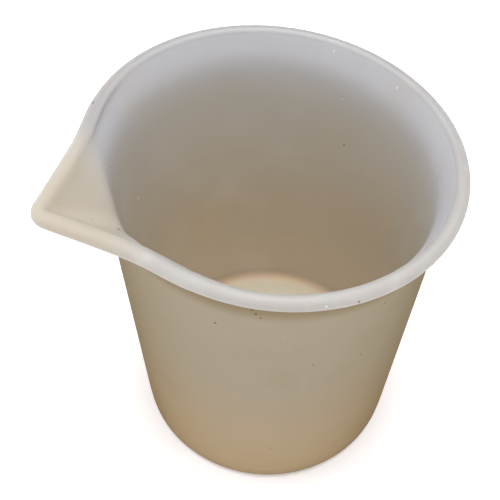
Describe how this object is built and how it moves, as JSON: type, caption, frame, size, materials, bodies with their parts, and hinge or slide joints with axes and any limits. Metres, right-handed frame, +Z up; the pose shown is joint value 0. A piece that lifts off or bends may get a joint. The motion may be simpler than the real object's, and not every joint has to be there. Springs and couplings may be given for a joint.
{
  "type": "resin mixing cup",
  "caption": "Soft one-piece mixing cup with a tapered round body, a flared and rolled rim, a flat foot and a V-shaped pour spout.",
  "frame": {"origin": "centre of the flat foot, on the cup's axis", "axes": "+Z up along the cup's axis, +X towards the tip of the pour spout, and Y = 0 is the plane of symmetry"},
  "size_m": [0.0733, 0.064, 0.074],
  "materials": {
    "frosted_silicone": "frosted translucent silicone, matt and faintly waxy, warm where it is thick and cool and pale at the rim"
  },
  "bodies": {
    "root": {"silicone_cup": "frosted_silicone"}
  },
  "joints": []
}
